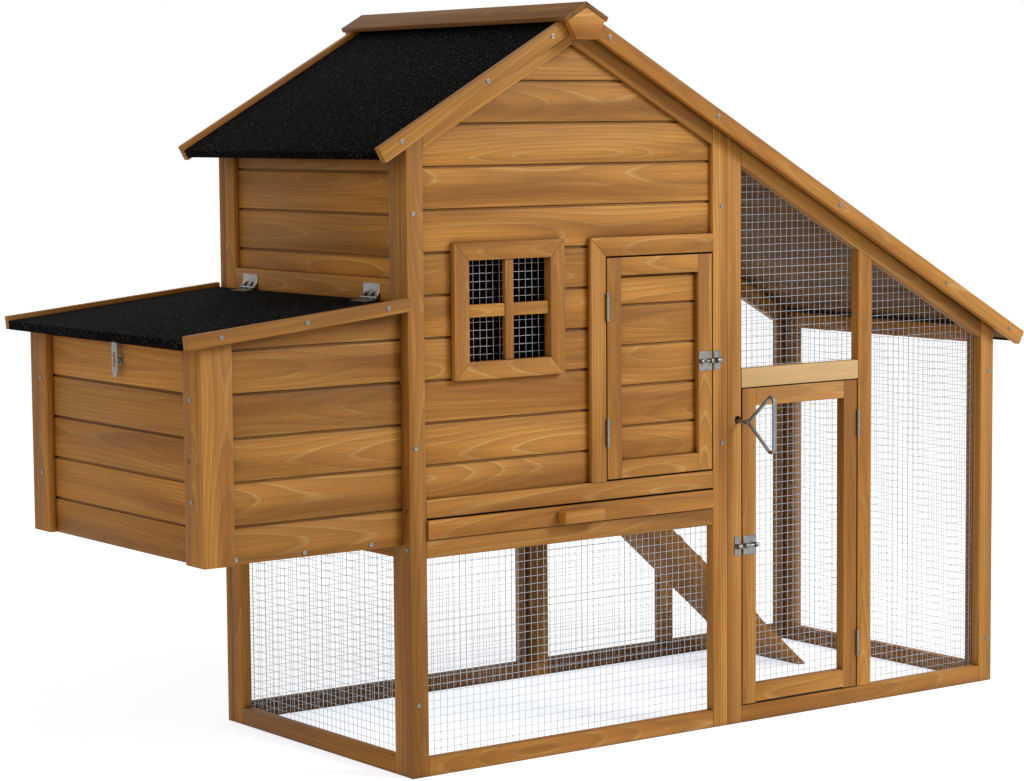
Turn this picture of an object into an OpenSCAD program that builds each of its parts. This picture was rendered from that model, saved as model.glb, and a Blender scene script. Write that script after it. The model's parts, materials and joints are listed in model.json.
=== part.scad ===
// Timber hen house with an attached wire run, a side nest box and a felted roof.
// Working frame of the modules: X along the front from the outer left corner post,
// Y from the front faces of the posts towards the back, Z up from the ground.
// placed() moves that frame so the origin is the middle of the footprint of the whole box.

/* [House] */
// Width of the house part, over its corner posts
house_w = 640; // [600:5:700]
// Depth of the frame, front face to back face
depth = 560; // [540:2:600]
// Height of the under-house opening above the ground
floor_z = 343; // [335:1:350]
// Height of the floor rail's top edge above the ground
sill_z = 434; // [432:1:438]

/* [Run] */
// Width of the run part, over its posts
run_w = 625; // [600:5:680]
// Width of the opening for the run door
door_gap = 265; // [250:1:280]
// Height of the underside of the rail above the run door
run_header_z = 568; // [560:1:575]

/* [Timber] */
// Face width of frame stock
stock_w = 31; // [28:0.5:32]
// Thickness of frame stock
stock_t = 18; // [16:0.5:20]
// Cover height of one cladding board
board_h = 65.7; // [60:0.1:72]
// Thickness of a cladding board
board_t = 9; // [8:0.5:9]
// Depth of the cladding face behind the post faces
recess = 8; // [6:0.5:8]
// Height and depth of the groove between two boards
groove = 4; // [2:0.5:5]

/* [Roof] */
// Slope of both roof faces in degrees
pitch = 29.3; // [29:0.1:29.5]
// Height of the peak of the verge boards
peak_z = 1192; // [1188:1:1196]
// How far the left eave stands out from the house
eave_left = 64; // [60:1:80]
// How far the right eave stands out from the run
eave_right = 55; // [40:1:60]
// Front overhang to the face of the verge boards
verge_front = 23; // [20:1:26]
// Back overhang to the face of the verge boards
verge_back = 24; // [20:1:28]
// Depth of a verge board across the slope
verge_h = 25.6; // [24:0.2:28]
// Thickness of a verge board
verge_t = 13; // [12:0.5:14]

/* [Nest box] */
// How far the nest box stands out from the house wall
nest_out = 360; // [356:1:364]
// Height of the nest box bottom above the ground
nest_z = 364; // [358:1:368]
// Length of the lid down its slope
lid_len = 396; // [394:0.5:402]
// Slope of the lid in degrees
lid_pitch = 5.7; // [5:0.1:6.5]
// Height of the felt top where the lid meets the wall
lid_z = 742; // [738:1:746]

/* [Openings] */
// Left edge of the window casing
window_x = 85; // [78:1:90]
// Bottom edge of the window casing
window_z = 615; // [608:1:620]
// Outer size of the window casing
window_size = 214; // [206:1:217]
// Width of the house door leaf
door_w = 220; // [212:1:221]
// Height of the house door leaf
door_h = 358; // [345:1:360]
// Radius of the pull rod
rod_r = 3; // [2.5:0.25:3]

/* [Hidden] */
$fn = 32;

wood = "#b07a3a";
wood_dark = "#93602c";
felt_black = "#17181b";
zinc = "#b9bdc2";

gap = 0.1;             // hair gap left where two separate pieces meet
eps = 1;               // overshoot of a cutting shape

// Height of one board joint on each clad face; the others follow at the board pitch
front_joint = 488;
back_joint = 414.3;
gable_joint = 809;
door_joint = 522;
frame_l = house_w + run_w;
back_y = depth - stock_t;
ridge_x = house_w / 2;
rise = tan(pitch);

// Rails: foot rail, the one over the tray, the one over the nest opening, the top ones
foot_rail = stock_w - 2;
tray_rail_z = 405;
lintel_z = [732, 775];
top_rail = 29;

// Layers of the roof, measured square to the slope from the verge board's top edge
felt_drop = 7.4;
felt_t = 1.5;
roof_board_t = 9;
under_drop = felt_drop + felt_t + roof_board_t;
rafter_h = 31;
cap_t = 8;
cap_w = 46;
cap_front = 14;
cap_back = 20;
slope_left = (ridge_x + eave_left) / cos(pitch);
slope_right = (frame_l + eave_right - ridge_x) / cos(pitch);

// Pull rod and its wire handle
rod_x = house_w + 23;
rod_z = 513;
rod_out = 26;
loop_len = 64;
loop_half = 54;
bead = 0.3;
rod_hole_r = 6.5;

// Overall box, which sets the origin
lid_rim = 7;
x_min = -(lid_len * cos(lid_pitch) + lid_rim * sin(lid_pitch));
x_max = frame_l + eave_right;
y_min = -(rod_out + loop_len + rod_r + bead);
y_max = depth + verge_back + cap_back;
x_mid = (x_min + x_max) / 2;
y_mid = (y_min + y_max) / 2;

// Run door
mid_post_x = house_w + stock_w + door_gap;
run_door_x = [house_w + stock_w + 2, mid_post_x - 3];
run_door_z = [foot_rail + 1.5, run_header_z - 2];
run_hinge = [mid_post_x - 1.5, -2.7];
run_hinge_z = [84, 468];

// Window and house door
window_casing_w = 28;
house_stile = 29;
run_stile = 30;
house_door_x = [house_w - stock_w - 3 - door_w, house_w - stock_w - 3];
house_door_z = [sill_z + 3, sill_z + 3 + door_h];
house_door_y = [-1, 16];
house_hinge = [house_door_x[0] - 1.5, -4.8];
house_hinge_z = [491, 694];
casing_w = 30;
casing_y = [-2, recess - gap];
casing_x = house_door_x[0] - 3 - casing_w;
casing_top = house_door_z[1] + 3;

// Hinges and bolts
hinge_h = 46;
hinge_r = 2.5;
pin_r = 1.1;
pin_play = 0.06;
leaf_t = 0.8;
bolt_r = 2.5;
bolt_play = 0.06;
bolt_y = -5.6;
house_bolt_z = 618;
run_bolt_z = 302;

// Tray
tray_z = [372, 402];
tray_x = [34, house_w - 34];
tray_back = depth - 24;
runner_top = 371;

// Nest box and its lid
lid_hinge_y = [75, 439];
hasp_y = 271;
eye_z = 656;
nest_y = [19, depth - 19];
nest_board_t = 10;
nest_wall_x = -(nest_out - 12);
nest_groove_z = 422;
trim_w = 43;

// Slide door, pop hole and ramp
hole_y = [322, 488];
hole_z = [404, 620];
slide_y = [314, 496];
slide_z = [397, 630];
slide_x = [house_w + 1.5, house_w + 10.5];
ramp_foot_x = 1108;
ramp_reach = 32;
ramp_pivot = [house_w + ramp_reach, 385];
ramp_fixed_leaf_z = [-2.2, -1.3];
ramp_leaf_z = [-0.45, 0.45];
ramp_hinge_y = [340, 436];
ramp_y = [322, 500];
ramp_t = 12;
cleat_h = 5;
ramp_angle = atan(ramp_pivot[1] / (ramp_foot_x - ramp_pivot[0]));
ramp_len = norm([ramp_foot_x - ramp_pivot[0], ramp_pivot[1]]);

// Height of the underside of the roof boards at x
function under_z(x) = peak_z - under_drop / cos(pitch) - abs(x - ridge_x) * rise;
// Height of the lower edge of the rafters at x
function rafter_z(x) = under_z(x) - rafter_h / cos(pitch);
// Height of the lid's underside at x, less a small clearance
function lid_under(x) = lid_z + x * tan(lid_pitch) - 11.3 / cos(lid_pitch);

module placed() { translate([-x_mid, -y_mid, 0]) children(); }

// A straight piece given by its range along each axis
module bar(x, y, z) {
  translate([x[0], y[0], z[0]]) cube([x[1] - x[0], y[1] - y[0], z[1] - z[0]]);
}

// A flat outline in X and Z, extruded through a range of Y
module slab_y(points, y) {
  translate([0, y[1], 0]) rotate([90, 0, 0]) linear_extrude(y[1] - y[0]) polygon(points);
}

// A flat outline in Y and Z, extruded through a range of X
module slab_x(points, x) {
  translate([x[0], 0, 0]) rotate([90, 0, 90]) linear_extrude(x[1] - x[0]) polygon(points);
}

// Section of one board from z0 to z1: outer face at 0, growing by s * t, grooved at the top
function board_section(f, s, t, z0, z1) = [
  [f, z0 + gap], [f, z1 - groove], [f + s * groove, z1 - groove],
  [f + s * groove, z1 - gap], [f + s * t, z1 - gap], [f + s * t, z0 + gap]];

// Heights of the board joints that lie between two levels
function joints(z, start) = concat([z[0]],
  [for (i = [-8 : 20]) let (h = start + i * board_h) if (h > z[0] + 12 && h < z[1] - 8) h],
  [z[1]]);

// Cladding in an XZ wall, face at y, thickness growing by s
module boards_xz(x, face, s, t, z, start) {
  levels = joints(z, start);
  for (i = [0 : len(levels) - 2])
    slab_x(board_section(face, s, t, levels[i], levels[i + 1]), x);
}

// Cladding in a YZ wall, face at x, thickness growing by s
module boards_yz(y, face, s, t, z, start) {
  levels = joints(z, start);
  for (i = [0 : len(levels) - 2])
    slab_y(board_section(face, s, t, levels[i], levels[i + 1]), y);
}

// A post whose top follows the underside of the roof
module roof_post(x, y) {
  slab_y([[x[0], 0], [x[1], 0], [x[1], under_z(x[1]) - gap], [x[0], under_z(x[0]) - gap]], y);
}

// The post beside the run door, from the foot rail to the rafter
module mid_post(y) {
  x = [mid_post_x, mid_post_x + stock_w];
  slab_y([[x[0], foot_rail], [x[1], foot_rail], [x[1], rafter_z(x[1]) - gap],
    [x[0], rafter_z(x[0]) - gap]], y);
}

// A rafter between two heights under the roof
module rafter(x, y) {
  slab_y([[x[0], rafter_z(x[0])], [x[1], rafter_z(x[1])],
    [x[1], under_z(x[1]) - gap], [x[0], under_z(x[0]) - gap]], y);
}

// One roof face: +X runs down the slope from the peak, +Z is square to it
module roof_face(side) {
  translate([ridge_x, 0, peak_z]) mirror([side < 0 ? 1 : 0, 0, 0]) rotate([0, pitch, 0]) children();
}

// A layer of the roof between two depths, mitred at the peak
module roof_layer(len, top, bottom, y, start = 0) {
  slab_y([[max(start, -top * rise) + gap, top], [len, top], [len, bottom],
    [max(start, -bottom * rise) + gap, bottom]], y);
}

// The lid: +X runs down its slope away from the wall, +Z is square to it
module lid_face() {
  translate([0, 0, lid_z]) mirror([1, 0, 0]) rotate([0, lid_pitch, 0]) children();
}

// A screw head, with a cross recess, that faces -Y, -X or +Y
module screw_head(p, turn) {
  translate(p) rotate(turn) difference() {
    cylinder(r = 3.6, h = 1.2);
    translate([0, 0, 0.6]) for (a = [45, 135]) rotate([0, 0, a])
      translate([-2.2, -0.4, 0]) cube([4.4, 0.8, eps]);
  }
}
function facing(side) = side == "front" ? [90, 0, 0] : side == "left" ? [0, -90, 0] : [-90, 0, 0];

// Knuckles of one hinge half along Z; the fixed half carries the pin
module fixed_knuckles(h) {
  cylinder(r = pin_r, h = h);
  for (i = [0, 2, 4]) translate([0, 0, i * h / 5]) cylinder(r = hinge_r, h = h / 5);
}
module moving_knuckles(h) {
  for (i = [1, 3]) translate([0, 0, i * h / 5 + 0.3]) difference() {
    cylinder(r = hinge_r, h = h / 5 - 0.6);
    translate([0, 0, -eps]) cylinder(r = pin_r + pin_play, h = h);
  }
}

// A leaf that lies in the gap beside a door, and webs to its own knuckles
module gap_leaf(side, from, rows) {
  x0 = side * 1.45;
  x1 = side * (1.45 - leaf_t);
  bar([min(x0, x1), max(x0, x1)], [from, from + 11], [0, hinge_h]);
  for (i = rows) bar([min(x0, x1), max(x0, x1)], [pin_r + 0.2, from + eps],
    [i * hinge_h / 5 + 0.3, (i + 1) * hinge_h / 5 - 0.3]);
}

module house_front_posts() {
  placed() color(wood) {
    roof_post([0, stock_w], [0, stock_t]);
    roof_post([house_w - stock_w, house_w - gap], [0, stock_t]);
  }
}

module house_front_rails() {
  placed() color(wood) for (z = [[0, foot_rail], [floor_z, runner_top], [tray_rail_z, sill_z]])
    bar([stock_w + gap, house_w - stock_w - gap], [0, stock_t], z);
}

// Outline under the rafters of the gable, used to trim the cladding
module gable_cut(y) {
  slab_y([[stock_w + gap, 0], [house_w - stock_w - gap, 0],
    [house_w - stock_w - gap, rafter_z(house_w - stock_w) - gap],
    [ridge_x, rafter_z(ridge_x) - gap], [stock_w + gap, rafter_z(stock_w) - gap]], y);
}

module front_wall_boards() {
  z = [sill_z + gap, rafter_z(ridge_x)];
  hole = window_casing_w - 2;
  placed() color(wood) difference() {
    intersection() {
      boards_xz([stock_w, house_w - stock_w], recess, 1, board_t, z, front_joint);
      gable_cut([0, stock_t]);
    }
    bar([house_door_x[0] - 4, house_w], [-eps, 2 * stock_t], [sill_z - eps, casing_top - 2]);
    bar([window_x + hole, window_x + window_size - hole], [-eps, 2 * stock_t],
      [window_z + hole, window_z + window_size - hole]);
  }
}

// One mitred member of a square casing, on the bottom side
module casing_member(size, w, y) {
  slab_y([[gap, 0], [size - gap, 0], [size - w - gap, w], [w + gap, w]], y);
}

module window_casing() {
  y = [-4, recess - gap];
  h = window_size / 2;
  placed() color(wood) translate([window_x + h, 0, window_z + h])
    for (a = [0, 90, 180, 270]) rotate([0, a, 0]) translate([-h, 0, -h])
      casing_member(window_size, window_casing_w, y);
}

module window_bars() {
  c = window_x + window_size / 2;
  z = window_z + window_size / 2;
  half = window_size / 2 - window_casing_w - gap;
  placed() color(wood) {
    bar([c - 8, c + 8], [-1, recess - gap], [z - half, z + half]);
    for (x = [[c - half, c - 8 - gap], [c + 8 + gap, c + half]])
      bar(x, [0.5, recess - gap], [z - 10, z + 10]);
  }
}

module window_mesh() {
  placed() color(zinc) bar([window_x + 12, window_x + window_size - 12],
    [recess + board_t + gap, recess + board_t + 1.1], [window_z + 12, window_z + window_size - 12]);
}

module door_casing() {
  x1 = house_w - stock_w - gap;
  placed() color(wood) {
    slab_y([[casing_x, sill_z + gap], [casing_x + casing_w, sill_z + gap],
      [casing_x + casing_w, casing_top], [casing_x, casing_top + casing_w]], casing_y);
    slab_y([[casing_x + casing_w + 2 * gap, casing_top], [x1, casing_top],
      [x1, casing_top + casing_w], [casing_x + 2 * gap, casing_top + casing_w]], casing_y);
  }
}

module rafters() {
  placed() color(wood_dark) for (y = [[0, stock_t], [back_y, depth]]) {
    rafter([stock_w + gap, ridge_x - gap], y);
    rafter([ridge_x + gap, house_w - stock_w - gap], y);
    rafter([house_w + stock_w + gap, frame_l - stock_w - gap], y);
  }
}

module run_front_posts() {
  placed() color(wood) {
    difference() {
      roof_post([house_w, house_w + stock_w], [0, stock_t]);
      translate([rod_x, -eps, rod_z + 2]) rotate([-90, 0, 0])
        cylinder(r = rod_hole_r, h = 2 * stock_t);
    }
    mid_post([0, stock_t]);
    roof_post([frame_l - stock_w, frame_l], [0, stock_t]);
  }
}

module run_front_rails() {
  placed() color(wood) {
    bar([house_w + stock_w + gap, frame_l - stock_w - gap], [0, stock_t], [0, foot_rail - gap]);
    bar([house_w + stock_w + gap, mid_post_x - gap], [0, stock_t],
      [run_header_z, run_header_z + stock_w + 1]);
  }
}

// Welded wire over one opening of an XZ wall, cut to the slope of the roof
module mesh_xz(x, z0, y) {
  slab_y([[x[0], z0], [x[1], z0], [x[1], rafter_z(x[1]) + 14], [x[0], rafter_z(x[0]) + 14]], y);
}

module front_mesh() {
  y = [stock_t + 0.2, stock_t + 1.2];
  m = mid_post_x + stock_w / 2;
  placed() color(zinc) {
    bar([stock_t + 1, house_w - stock_t - 1], y, [4, runner_top - 20]);
    mesh_xz([house_w + 8, m - 0.5], run_header_z + 12, y);
    mesh_xz([m + 0.5, frame_l - stock_t - 1], 4, y);
  }
}

module back_posts() {
  y = [back_y, depth];
  placed() color(wood) {
    for (x = [[0, stock_w], [house_w - stock_w, house_w - gap],
      [house_w, house_w + stock_w], [frame_l - stock_w, frame_l]]) roof_post(x, y);
    mid_post(y);
  }
}

module back_rails() {
  y = [back_y, depth];
  placed() color(wood) {
    for (z = [[0, foot_rail - gap], [floor_z, runner_top]])
      bar([stock_w + gap, house_w - stock_w - gap], y, z);
    bar([house_w + stock_w + gap, frame_l - stock_w - gap], y, [0, foot_rail - gap]);
  }
}

module back_wall_boards() {
  placed() color(wood) intersection() {
    boards_xz([stock_w, house_w - stock_w], depth - recess, -1, board_t,
      [runner_top + gap, rafter_z(ridge_x)], back_joint);
    gable_cut([back_y, depth]);
  }
}

module back_mesh() {
  y = [back_y - 1.2, back_y - 0.2];
  m = mid_post_x + stock_w / 2;
  placed() color(zinc) {
    bar([stock_t + 1, house_w - stock_t - 1], y, [4, runner_top - 20]);
    mesh_xz([house_w + 8, m - 0.5], 4, y);
    mesh_xz([m + 0.5, frame_l - stock_t - 1], 4, y);
  }
}

// Posts of a side panel between the front and back walls
module side_posts(x, top, front_foot = 0, back_foot = 0) {
  bar(x, [stock_t + gap, stock_t + stock_w], [front_foot, top]);
  bar(x, [back_y - stock_w, back_y - gap], [back_foot, top]);
}
function side_y() = [stock_t + stock_w + gap, back_y - stock_w - gap];

module left_frame() {
  x = [0, stock_t];
  top = under_z(0) - gap;
  placed() color(wood) {
    side_posts(x, top);
    for (z = [[0, foot_rail], [floor_z, floor_z + stock_w], lintel_z, [top - top_rail, top]])
      bar(x, side_y(), z);
  }
}

module left_wall_boards() {
  placed() color(wood) boards_yz(side_y(), recess, 1, board_t,
    [lintel_z[1] + gap, under_z(0) - top_rail - 2 * gap], gable_joint);
}

module left_mesh() {
  placed() color(zinc) bar([stock_t + 0.2, stock_t + 1.2], [stock_t + 3, back_y - 3],
    [4, runner_top - 20]);
}

module right_frame() {
  x = [frame_l - stock_t, frame_l];
  top = under_z(frame_l) - gap;
  placed() color(wood) {
    side_posts(x, top);
    for (z = [[0, foot_rail], [top - top_rail, top]]) bar(x, side_y(), z);
  }
}

module right_mesh() {
  x1 = frame_l - stock_t - 0.2;
  placed() color(zinc) bar([x1 - 1, x1], [stock_t + 3, back_y - 3], [4, under_z(frame_l) - 12]);
}

module inner_wall_frame() {
  x = [house_w - stock_t, house_w - gap];
  top = under_z(house_w) - gap;
  placed() color(wood_dark) {
    side_posts(x, top, floor_z, foot_rail);
    for (z = [[floor_z, floor_z + stock_w], [top - top_rail, top]]) bar(x, side_y(), z);
  }
}

module inner_wall_boards() {
  placed() color(wood_dark) difference() {
    boards_yz(side_y(), house_w - recess / 2, -1, board_t,
      [floor_z + stock_w + gap, under_z(house_w) - top_rail - 2 * gap], back_joint);
    bar([house_w - 2 * stock_t, house_w + eps], hole_y, hole_z);
  }
}

module slide_guides() {
  y = [130, back_y - stock_w];
  placed() color(wood_dark) for (z = [[384, 396.5], [slide_z[1] + 0.5, 643]]) {
    low = z[0] < hole_z[0];
    bar([house_w, house_w + 11], y, z);
    bar([house_w + 11 + gap, house_w + 18], y, low ? [z[0], z[1] + 7] : [z[0] - 7, z[1]]);
  }
}

module tray_runners() {
  placed() color(wood_dark) for (x = [[stock_t + gap, 46], [house_w - 46, house_w - stock_t - gap]])
    bar(x, [stock_t + 1.4, back_y - 1.4], [runner_top - 18, runner_top]);
}

module perch() {
  x = [312, 343];
  placed() color(wood_dark) {
    bar(x, [27, depth - 27], [500, 531]);
    for (y = [[17.2, 27 - gap], [depth - 27 + gap, depth - 17.2]])
      bar([x[0] - 10, x[1] + 10], y, [492, 531]);
  }
}

// Everything of the nest box that ends under the sloping lid
module under_lid() {
  intersection() {
    children();
    slab_y([[-nest_out - eps, 0], [eps, 0], [eps, lid_under(eps)],
      [-nest_out - eps, lid_under(-nest_out - eps)]], [-eps, depth + eps]);
  }
}

module nest_front_boards() {
  placed() color(wood) under_lid() boards_xz([nest_wall_x + nest_board_t + gap, -gap],
    nest_y[0], 1, nest_board_t, [nest_z, 738], nest_groove_z);
}

module nest_back_boards() {
  placed() color(wood) under_lid() boards_xz([nest_wall_x + nest_board_t + gap, -gap],
    nest_y[1], -1, nest_board_t, [nest_z, 738], nest_groove_z);
}

module nest_left_boards() {
  placed() color(wood) under_lid()
    boards_yz(nest_y, nest_wall_x, 1, nest_board_t, [nest_z, 702], nest_groove_z);
}

module nest_corner_trims() {
  x0 = -nest_out;
  placed() color(wood) under_lid() for (m = [0, 1]) translate([0, m * depth, 0]) mirror([0, m, 0]) {
    bar([x0, x0 + 53], [8, nest_y[0] - gap], [nest_z, 742]);
    bar([x0, nest_wall_x - gap], [nest_y[0], nest_y[0] + trim_w], [nest_z, 742]);
  }
}

module nest_floor() {
  placed() color(wood_dark) bar([nest_wall_x + nest_board_t + gap, -gap],
    [nest_y[0] + nest_board_t + gap, nest_y[1] - nest_board_t - gap], [nest_z, nest_z + 9]);
}

module nest_divider() {
  placed() color(wood_dark) under_lid() bar([nest_wall_x + nest_board_t + gap, -gap],
    [depth / 2 - 5, depth / 2 + 5], [nest_z + 9 + gap, 712]);
}

// Roof boards, laid along the ridge and butted down the slope
module roof_boards(side, len) {
  y = [-verge_front + verge_t + gap, depth + verge_back - verge_t - gap];
  count = ceil(len / board_h);
  w = len / count;
  top = -felt_drop - felt_t - gap;
  placed() color(wood_dark) roof_face(side) for (i = [0 : count - 1])
    roof_layer((i + 1) * w - gap, top, -under_drop, y, i * w);
}
module roof_boards_left() { roof_boards(-1, slope_left - 3); }
module roof_boards_right() { roof_boards(1, slope_right - 3); }

module roof_felt() {
  y = [-verge_front + verge_t + gap, depth + verge_back - verge_t - gap];
  placed() color(felt_black) for (s = [[-1, slope_left], [1, slope_right]]) roof_face(s[0]) {
    roof_layer(s[1] - 1, -felt_drop, -felt_drop - felt_t, y);
    bar([s[1] - 1 - felt_t, s[1] - 1], y, [-under_drop - 3, -felt_drop]);
  }
}

module verge_boards() {
  placed() color(wood) for (y = [[-verge_front, -verge_front + verge_t],
    [depth + verge_back - verge_t, depth + verge_back]])
    for (s = [[-1, slope_left], [1, slope_right]]) roof_face(s[0])
      roof_layer(s[1], 0, -verge_h, y);
}

module ridge_cap() {
  y = [-verge_front - cap_front, depth + verge_back + cap_back];
  placed() color(wood_dark) for (s = [-1, 1]) roof_face(s)
    slab_y([[gap - cap_t * rise, cap_t + gap], [cap_w, cap_t + gap], [cap_w, gap], [0, gap]], y);
}

module ridge_end_blocks() {
  shape = [[0, -gap], [37, -37 * rise - gap], [19.5, -50], [-19.5, -50], [-37, -37 * rise - gap]];
  placed() color(wood) translate([ridge_x, 0, peak_z]) {
    slab_y(shape, [-verge_front - cap_front, -verge_front - gap]);
    slab_y(shape, [depth + verge_back + gap, depth + verge_back + cap_back]);
  }
}

// Screws through the corner posts, the end posts and the nest box trims
module frame_screws() {
  front = [[12, 115], [12, 516], [12, 876], [628, 479], [628, 873], [1253, 79], [1253, 562]];
  left = [[9, 358], [9, 417]];
  nest_left = [[nest_y[0] + 22, 460], [nest_y[0] + 22, 612]];
  placed() color(zinc) {
    for (p = front) {
      screw_head([p[0], 0, p[1]], facing("front"));
      screw_head([p[0], depth, p[1]], facing("back"));
    }
    for (p = left, m = [0, 1])
      screw_head([0, m == 0 ? p[0] : depth - p[0], p[1]], facing("left"));
    for (p = nest_left, m = [0, 1])
      screw_head([-nest_out, m == 0 ? p[0] : depth - p[0], p[1]], facing("left"));
    for (x = [-300, -180, -60]) {
      screw_head([x, nest_y[0], nest_z + 7], facing("front"));
      screw_head([x, nest_y[1], nest_z + 7], facing("back"));
    }
  }
}

module roof_screws() {
  placed() color(zinc) for (s = [[-1, [72, 215, 400]], [1, [72, 330, 640, 930, 1110]]])
    roof_face(s[0]) for (x = s[1]) {
      screw_head([x, -verge_front, -12], facing("front"));
      screw_head([x, depth + verge_back, -12], facing("back"));
    }
}

// Fixed halves, with their pins, of the door, lid and ramp hinges
module fixed_hinge_leaves() {
  placed() color(zinc) {
    for (z = house_hinge_z) translate([house_hinge[0], house_hinge[1], z]) {
      fixed_knuckles(hinge_h);
      gap_leaf(-1, 2.9, [0, 2, 4]);
    }
    for (z = run_hinge_z) translate([run_hinge[0], run_hinge[1], z]) {
      fixed_knuckles(hinge_h);
      gap_leaf(1, 2.9, [0, 2, 4]);
    }
    for (y = lid_hinge_y) translate([0, y, 0]) {
      translate([lid_axis()[0], 0, lid_axis()[1]]) rotate([-90, 0, 0]) fixed_knuckles(hinge_h);
      bar([-1, -gap], [0, hinge_h], [lid_axis()[1] + 8, lid_axis()[1] + 22]);
      for (i = [0, 2, 4]) slab_y([[lid_axis()[0], lid_axis()[1] + 1.4], [-gap, lid_axis()[1] + 7],
        [-gap, lid_axis()[1] + 9], [-1, lid_axis()[1] + 9], [lid_axis()[0] - 1, lid_axis()[1] + 2]],
        [i * hinge_h / 5, (i + 1) * hinge_h / 5]);
    }
    for (y = ramp_hinge_y) translate([ramp_pivot[0], y, ramp_pivot[1]]) {
      rotate([-90, 0, 0]) fixed_knuckles(hinge_h);
      for (i = [0, 2, 4])
        bar([gap - ramp_reach, 0], [i * hinge_h / 5, (i + 1) * hinge_h / 5], ramp_fixed_leaf_z);
      bar([gap - ramp_reach, 1 - ramp_reach], [0, hinge_h], [-22, ramp_fixed_leaf_z[1]]);
    }
  }
}
function lid_axis() = [-(5.2 * cos(lid_pitch) + 3.4 * sin(lid_pitch)),
  lid_z - 5.2 * sin(lid_pitch) + 3.4 * cos(lid_pitch)];

// The loop on the post that takes a door bolt; s points from the door to the post
module keeper(x, s, z, y) {
  translate([x, y, z]) mirror([s < 0 ? 1 : 0, 0, 0]) {
    bar([5, 18], [-1.2, -gap], [-16, 16]);
    difference() {
      union() {
        translate([7, bolt_y - y, 0]) rotate([0, 90, 0]) cylinder(r = 4.6, h = 8);
        bar([7, 15], [bolt_y - y, -1], [-4.6, 4.6]);
      }
      translate([6, bolt_y - y, 0]) rotate([0, 90, 0]) cylinder(r = bolt_r + 0.4, h = 10);
    }
  }
}

module bolt_keepers() {
  placed() color(zinc) {
    keeper(house_door_x[1], 1, house_bolt_z, 0);
    keeper(run_door_x[0], -1, run_bolt_z, 0);
  }
}

// Plate and two barrels of a bolt; x = 0 at the door's edge, +X into the door
module bolt_base(y) {
  bar([1, 29], [y - 1.2, y - gap], [-16, 16]);
  for (x = [[2, 7], [23, 28]]) difference() {
    union() {
      translate([x[0], bolt_y, 0]) rotate([0, 90, 0]) cylinder(r = 4.4, h = x[1] - x[0]);
      bar(x, [bolt_y, y - 1], [-4.4, 4.4]);
    }
    translate([x[0] - eps, bolt_y, 0]) rotate([0, 90, 0]) cylinder(r = bolt_r + bolt_play, h = 10);
  }
}

// The sliding rod with its peg, drawn back
module bolt_rod() {
  translate([0.5, bolt_y, 0]) rotate([0, 90, 0]) cylinder(r = bolt_r, h = 28.5);
  translate([21, bolt_y, 0]) rotate([90, 0, 0]) cylinder(r = 1.6, h = 9);
}

// Hasp eye on the nest box, which turns about X
module hasp_staple() {
  placed() color(zinc) translate([nest_wall_x - gap, hasp_y, eye_z]) {
    rotate([0, -90, 0]) cylinder(r = 6.5, h = 1.2);
    translate([-1, 0, 0]) rotate([0, -90, 0]) cylinder(r = 1.8, h = 3.2);
    translate([-4, -1.4, 0]) intersection() {
      translate([-1.2, 0, 0]) rotate([-90, 0, 0]) difference() {
        cylinder(r = 5.4, h = 2.8);
        translate([0, 0, -eps]) cylinder(r = 2.2, h = 5);
      }
      bar([-4.4, 3.8], [0, 3], [-6, 6]);
    }
  }
}

module house_door_frame() {
  w = house_stile;
  placed() color(wood) {
    for (x = [[house_door_x[0], house_door_x[0] + w], [house_door_x[1] - w, house_door_x[1]]])
      bar(x, house_door_y, house_door_z);
    for (z = [[house_door_z[0], house_door_z[0] + w], [house_door_z[1] - w, house_door_z[1]]])
      bar([house_door_x[0] + w + gap, house_door_x[1] - w - gap], house_door_y, z);
  }
}

module house_door_boards() {
  w = house_stile;
  placed() color(wood) boards_xz([house_door_x[0] + w + gap, house_door_x[1] - w - gap],
    house_door_y[0] + 9.5, 1, 7, [house_door_z[0] + w + gap, house_door_z[1] - w - gap], door_joint);
}

module house_door_hardware() {
  placed() color(zinc) {
    for (z = house_hinge_z) translate([house_hinge[0], house_hinge[1], z]) {
      moving_knuckles(hinge_h);
      gap_leaf(1, 2.9, [1, 3]);
    }
    translate([house_door_x[1], 0, house_bolt_z]) mirror([1, 0, 0]) bolt_base(house_door_y[0]);
  }
}

module house_door_bolt() {
  placed() color(zinc) translate([house_door_x[1], 0, house_bolt_z]) mirror([1, 0, 0]) bolt_rod();
}

module run_door_frame() {
  w = run_stile;
  placed() color(wood) {
    for (x = [[run_door_x[0], run_door_x[0] + w], [run_door_x[1] - w, run_door_x[1]]])
      bar(x, [0, stock_t], run_door_z);
    for (z = [[run_door_z[0] + 2, run_door_z[0] + 2 + w], [run_door_z[1] - w, run_door_z[1]]])
      bar([run_door_x[0] + w + gap, run_door_x[1] - w - gap], [0, stock_t], z);
  }
}

module run_door_mesh() {
  placed() color(zinc) bar([run_door_x[0] + 5, run_door_x[1] - 5],
    [stock_t + 0.2, stock_t + 1.2], [run_door_z[0] + 5, run_door_z[1] - 5]);
}

module run_door_hardware() {
  placed() color(zinc) {
    for (z = run_hinge_z) translate([run_hinge[0], run_hinge[1], z]) {
      moving_knuckles(hinge_h);
      gap_leaf(-1, 2.9, [1, 3]);
    }
    translate([run_door_x[0], 0, run_bolt_z]) bolt_base(0);
  }
}

module run_door_bolt() {
  placed() color(zinc) translate([run_door_x[0], 0, run_bolt_z]) bolt_rod();
}

module tray_front() {
  placed() color(wood) {
    bar([stock_w + 1, house_w - stock_w - 1], [-4, 14], tray_z);
    bar([281, 360], [-26, -4 - gap], [tray_z[0] + 4, tray_z[0] + 23]);
  }
}

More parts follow.
